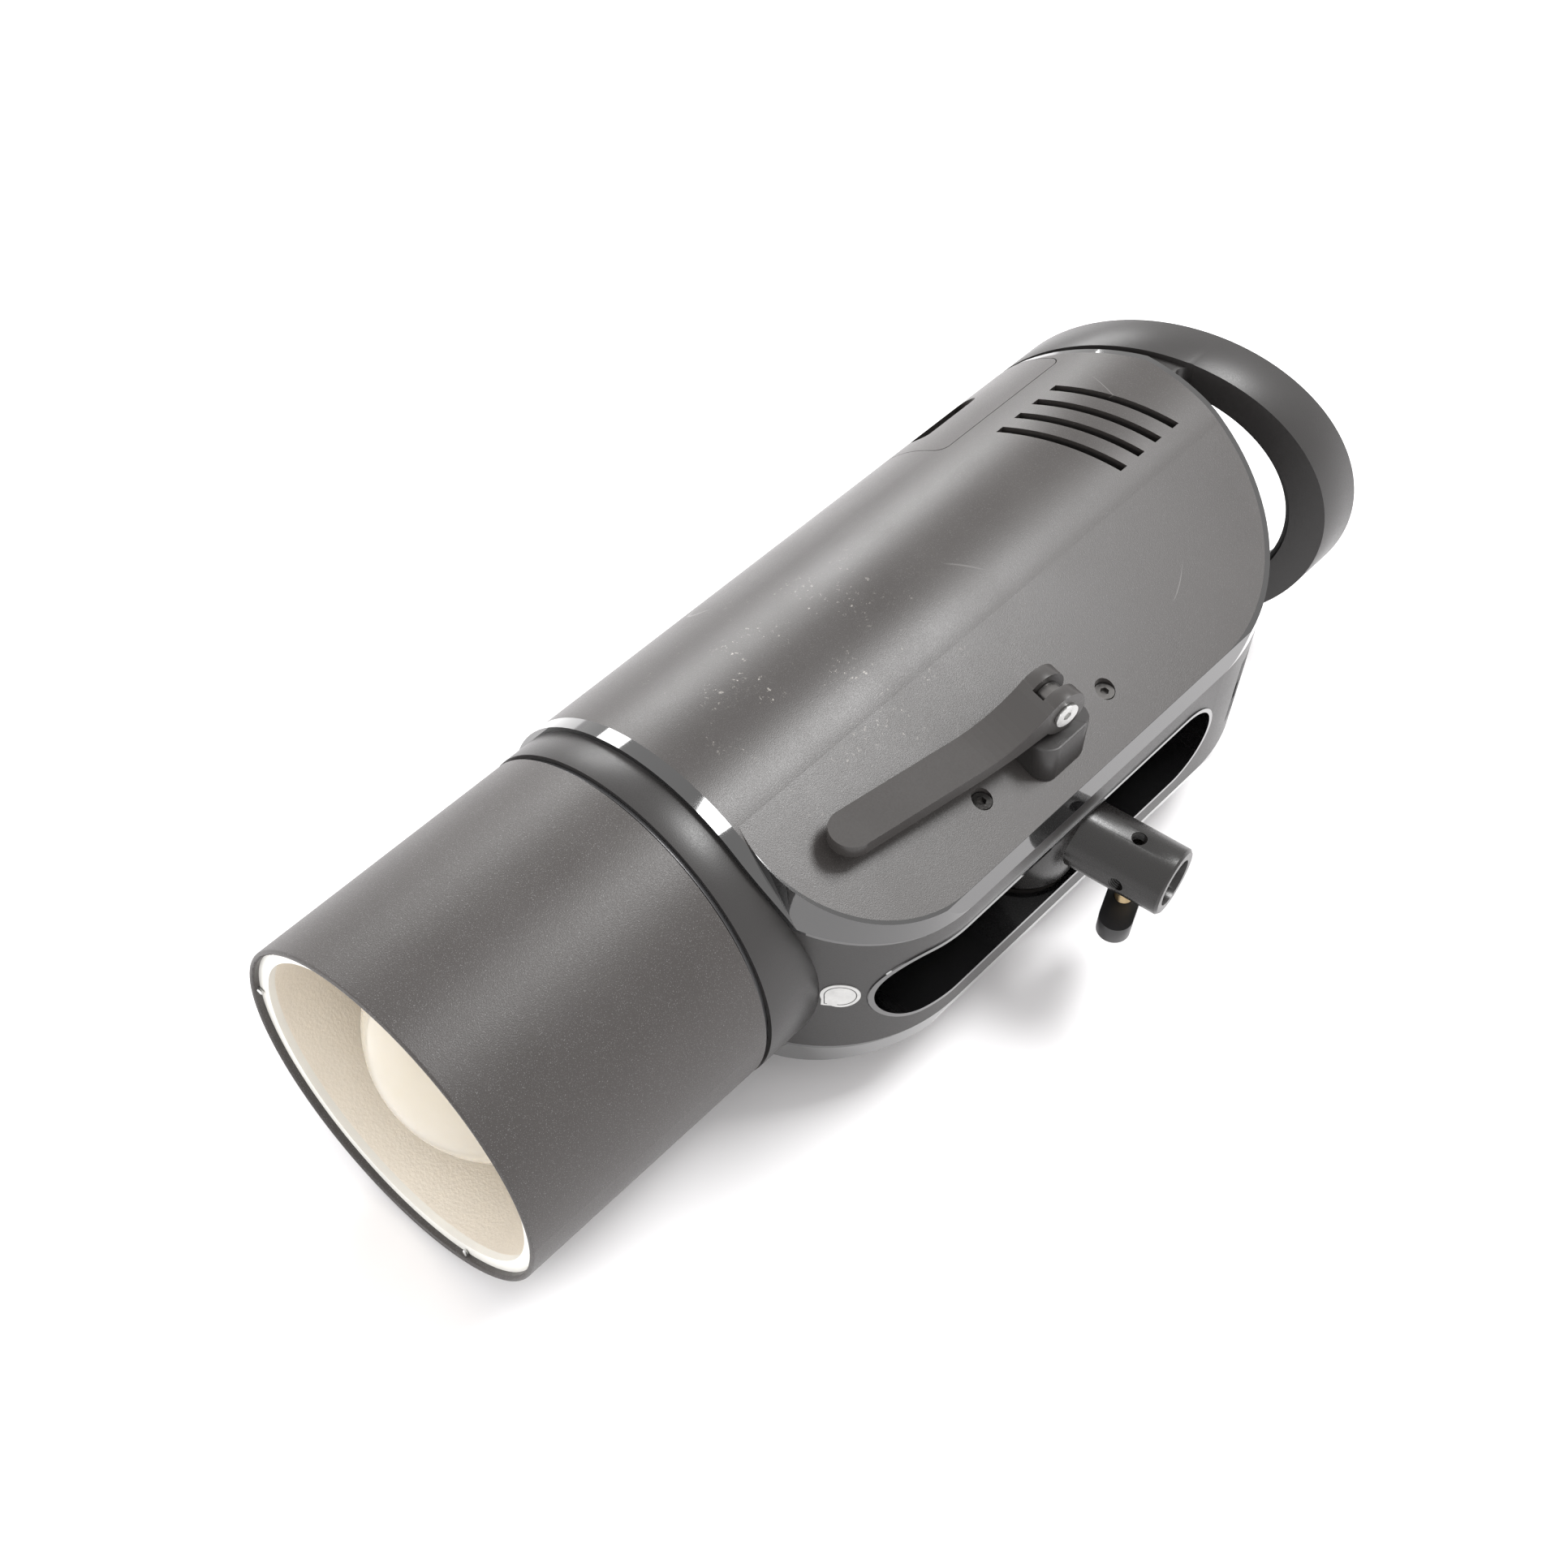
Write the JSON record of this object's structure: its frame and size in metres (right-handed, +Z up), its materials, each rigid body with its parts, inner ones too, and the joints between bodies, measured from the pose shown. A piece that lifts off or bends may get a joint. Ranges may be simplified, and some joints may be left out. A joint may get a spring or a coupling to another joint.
{
  "type": "monolight strobe",
  "caption": "Battery-powered monolight flash head lying on its side: bayonet reflector over a frosted dome, ring handle, tilting stand socket with cam lever and clamp screw.",
  "frame": {"origin": "centre of the bounding box on the ground, with the light lying on its right-hand side as it rests", "axes": "+Z up and to the lever side, +Y from the reflector to the handle, +X to the stand socket"},
  "size_m": [0.1756, 0.393, 0.129],
  "materials": {
    "housing": "fine-textured black moulded plastic with a slight sparkle",
    "panel": "fine-textured dark grey side panels, satin",
    "gloss_trim": "piano-black gloss trim",
    "reflector_black": "black powder-like texture with fine bright flecks",
    "reflector_silver": "hammered satin silver reflector lining",
    "rim_white": "white moulded lip",
    "dome": "frosted cream glass dome",
    "ceramic": "white ceramic-like lamp base",
    "tube_glass": "clear quartz flash tube",
    "lamp": "frosted modelling lamp",
    "mount_metal": "dark anodised bayonet ring",
    "grip": "soft black grip inside the ring",
    "window": "glossy dark display window",
    "electronics": "green circuit boards",
    "display": "display module behind the window",
    "chassis": "mill-finish sheet",
    "capacitor": "sleeved capacitors",
    "cells": "sleeved cells",
    "steel": "machined steel",
    "dark_screws": "black oxide screws",
    "brass": "turned brass screw",
    "cast": "satin black painted casting",
    "lever": "satin black painted lever",
    "washer": "fibre friction washers",
    "sticker": "blank printed-paper label",
    "controls": "satin push buttons"
  },
  "bodies": {
    "head": {"left_housing": "housing", "right_housing": "housing", "left_side_panel": "panel", "right_side_panel": "panel", "left_trim": "gloss_trim", "right_trim": "gloss_trim", "front_collar": "housing", "mount_ring": "mount_metal", "lamp_base": "ceramic", "flash_tube": "tube_glass", "modelling_lamp": "lamp", "glass_dome": "dome", "slot_liner": "gloss_trim", "handle_ring": "housing", "handle_grip": "grip", "rear_panel": "housing", "display_window": "window", "display_module": "display", "control_board": "electronics", "chassis_plate": "chassis", "power_board": "electronics", "capacitor_bank": "capacitor", "fan_frame": "housing", "battery_bay": "housing", "panel_screws": "dark_screws", "cam_block": "housing", "anchor_hub": "housing", "anchor_nut": "steel", "inspection_sticker": "sticker", "sync_socket": "steel", "port_socket": "steel"},
    "fan": {"fan_rotor": "housing"},
    "reflector": {"reflector_shell": "reflector_black", "reflector_liner": "reflector_silver", "rim_ring": "rim_white", "rim_pins": "steel"},
    "catch": {"release_catch": "controls"},
    "battery": {"battery_case": "panel", "battery_cells": "cells"},
    "latch": {"battery_latch": "controls"},
    "bolt": {"tie_bolt": "dark_screws", "lever_pin": "steel"},
    "lever": {"cam_lever": "lever"},
    "bracket": {"stand_tube": "cast", "friction_washers": "washer"},
    "clamp": {"clamp_screw": "brass"},
    "knob": {"clamp_knob": "controls"},
    "dial": {"control_dial": "controls"},
    "test_key": {"test_button": "controls"},
    "mode_key": {"mode_button": "controls"},
    "lamp_key": {"lamp_button": "controls"},
    "sync_key": {"sync_button": "controls"},
    "power_key": {"power_switch": "gloss_trim"},
    "port_door": {"port_cover": "grip"}
  },
  "joints": [
    {"name": "reflector_twist", "type": "hinge", "parent": "head", "child": "reflector", "pos_m": [-0.02585, -0.09852, 0.062], "axis": [0, 1, 0], "range_deg": [0, 34]},
    {"name": "catch_slide", "type": "slide", "parent": "head", "child": "catch", "axis": [0, 1, 0], "range_m": [0, 0.003], "stiffness_N_per_m": 400, "springref_m": -0.001},
    {"name": "battery_slide", "type": "slide", "parent": "head", "child": "battery", "axis": [-1, 0, 0], "range_m": [0, 0.04]},
    {"name": "latch_slide", "type": "slide", "parent": "battery", "child": "latch", "axis": [0, 1, 0], "range_m": [0, 0.0028], "stiffness_N_per_m": 400, "springref_m": -0.001},
    {"name": "bracket_tilt", "type": "hinge", "parent": "head", "child": "bracket", "pos_m": [0.03665, 0.01469, 0.062], "axis": [0, 0, 1], "range_deg": [-48, 13]},
    {"name": "clamp_feed", "type": "slide", "parent": "bracket", "child": "clamp", "axis": [0, 0, -1], "range_m": [-0.002, 0.003]},
    {"name": "knob_turn", "type": "hinge", "parent": "clamp", "child": "knob", "pos_m": [0.07163, 0.02568, 0.039], "axis": [0, 0, -1], "range_deg": [-721, 1081]},
    {"name": "bolt_turn", "type": "hinge", "parent": "head", "child": "bolt", "pos_m": [0.03665, 0.01469, 0.062], "axis": [0, 0, 1], "range_deg": [0, 170]},
    {"name": "lever_lift", "type": "hinge", "parent": "bolt", "child": "lever", "pos_m": [0.03665, 0.01469, 0.1212], "axis": [-0.9871, 0.1599, 0], "range_deg": [0, 100]},
    {"name": "dial_turn", "type": "hinge", "parent": "head", "child": "dial", "pos_m": [-0.00085, 0.15349, 0.062], "axis": [0, 1, 0], "continuous": true},
    {"name": "test_press", "type": "slide", "parent": "head", "child": "test_key", "axis": [0, -1, 0], "range_m": [0, 0.0008], "stiffness_N_per_m": 800, "springref_m": -0.0004},
    {"name": "mode_press", "type": "slide", "parent": "head", "child": "mode_key", "axis": [0, -1, 0], "range_m": [0, 0.0008], "stiffness_N_per_m": 800, "springref_m": -0.0004},
    {"name": "lamp_press", "type": "slide", "parent": "head", "child": "lamp_key", "axis": [0, -1, 0], "range_m": [0, 0.0008], "stiffness_N_per_m": 800, "springref_m": -0.0004},
    {"name": "sync_press", "type": "slide", "parent": "head", "child": "sync_key", "axis": [0, -1, 0], "range_m": [0, 0.0008], "stiffness_N_per_m": 800, "springref_m": -0.0004},
    {"name": "power_rock", "type": "hinge", "parent": "head", "child": "power_key", "pos_m": [-0.00185, 0.14489, 0.034], "axis": [1, 0, 0], "range_deg": [0, 14]},
    {"name": "port_door_swing", "type": "hinge", "parent": "head", "child": "port_door", "pos_m": [0.04249, 0.12612, 0.062], "axis": [0, 0, 1], "range_deg": [0, 100]},
    {"name": "fan_spin", "type": "hinge", "parent": "head", "child": "fan", "pos_m": [-0.02285, 0.10948, 0.062], "axis": [0, 1, 0], "continuous": true}
  ],
  "couplings": [
    {"joint": "knob_turn", "follows": "clamp_feed", "rad_per_m": 6283.2}
  ]
}
